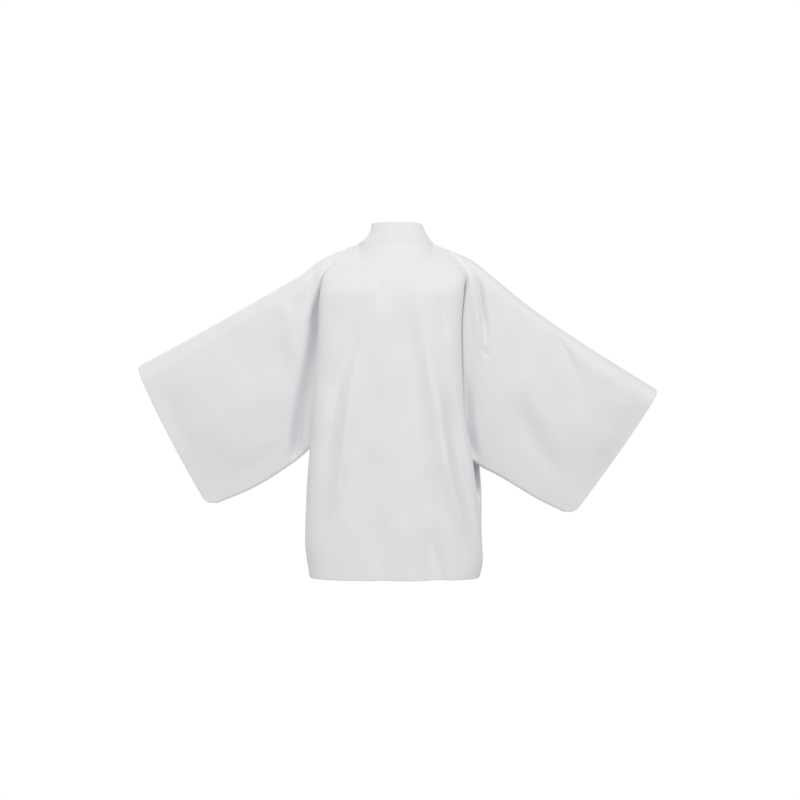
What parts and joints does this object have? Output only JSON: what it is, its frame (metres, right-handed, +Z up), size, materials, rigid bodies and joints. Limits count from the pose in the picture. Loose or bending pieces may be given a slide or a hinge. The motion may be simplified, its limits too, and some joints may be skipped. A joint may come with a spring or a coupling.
{
  "type": "haori",
  "caption": "Plain white haori jacket, worn open with both arms held out: one back, two fronts, side gussets, wide sleeves and a long collar band.",
  "frame": {"origin": "the middle of the neck, at the height where the collar is sewn to the back, which is where the shoulders and neck hold the haori up", "axes": "+Z up; the open front faces -Y and the back faces +Y; +X is the wearer's left, along the span of the sleeves"},
  "size_m": [1.2576, 0.2555, 0.8394],
  "materials": {
    "cloth": "plain matte white woven cloth"
  },
  "bodies": {
    "root": {"back": "cloth", "front_left": "cloth", "front_right": "cloth", "gusset_left": "cloth", "gusset_right": "cloth", "sleeve_left": "cloth", "sleeve_right": "cloth", "collar": "cloth"}
  },
  "joints": []
}
